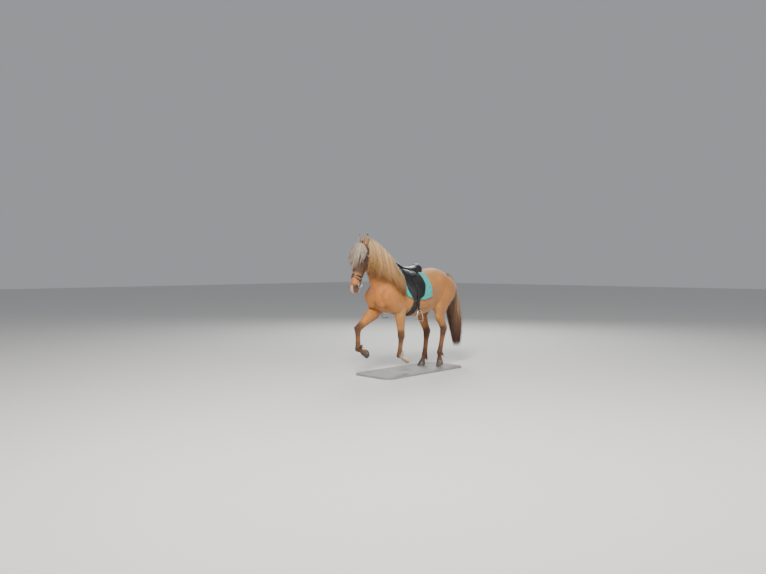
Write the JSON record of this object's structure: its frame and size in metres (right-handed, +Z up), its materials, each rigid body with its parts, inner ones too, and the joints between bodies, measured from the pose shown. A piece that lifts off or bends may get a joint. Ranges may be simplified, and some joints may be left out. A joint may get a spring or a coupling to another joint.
{
  "type": "horse model",
  "caption": "Life-size standing model of an Icelandic horse at the tolt, saddled and bridled without reins, on a flat base.",
  "frame": {"origin": "middle of the underside of the base", "axes": "+X towards the nose, +Y to the horse's left, +Z up"},
  "size_m": [2.0922, 0.6642, 1.7872],
  "materials": {
    "coat": "short golden tan hair",
    "mane_hair": "long flaxen hair",
    "tail_hair": "long hair, pale at the root, brown below",
    "eye": "glossy dark brown",
    "dark_horn": "dark grey horn",
    "light_horn": "pale pinkish horn",
    "saddle_leather": "black, satin",
    "bridle_leather": "dark brown, satin",
    "pad_cloth": "turquoise quilted cotton",
    "girth_web": "dark webbing",
    "steel": "worn bright steel",
    "base_board": "matte grey paint"
  },
  "bodies": {
    "root": {"stand_base": "base_board", "torso": "coat", "neck": "mane_hair", "head": "coat", "tail": "tail_hair", "saddle_pad": "pad_cloth", "saddle": "saddle_leather", "girth": "girth_web", "bridle": "bridle_leather", "leg_fore_left": "coat", "hoof_fore_left": "light_horn", "leg_fore_right": "coat", "hoof_fore_right": "dark_horn", "leg_hind_left": "coat", "hoof_hind_left": "dark_horn", "leg_hind_right": "coat", "hoof_hind_right": "dark_horn", "ear_left": "coat", "eye_left": "eye", "bit_ring_left": "steel", "stirrup_leather_left": "saddle_leather", "stirrup_left": "steel", "ear_right": "coat", "eye_right": "eye", "bit_ring_right": "steel", "stirrup_leather_right": "saddle_leather", "stirrup_right": "steel"}
  },
  "joints": []
}
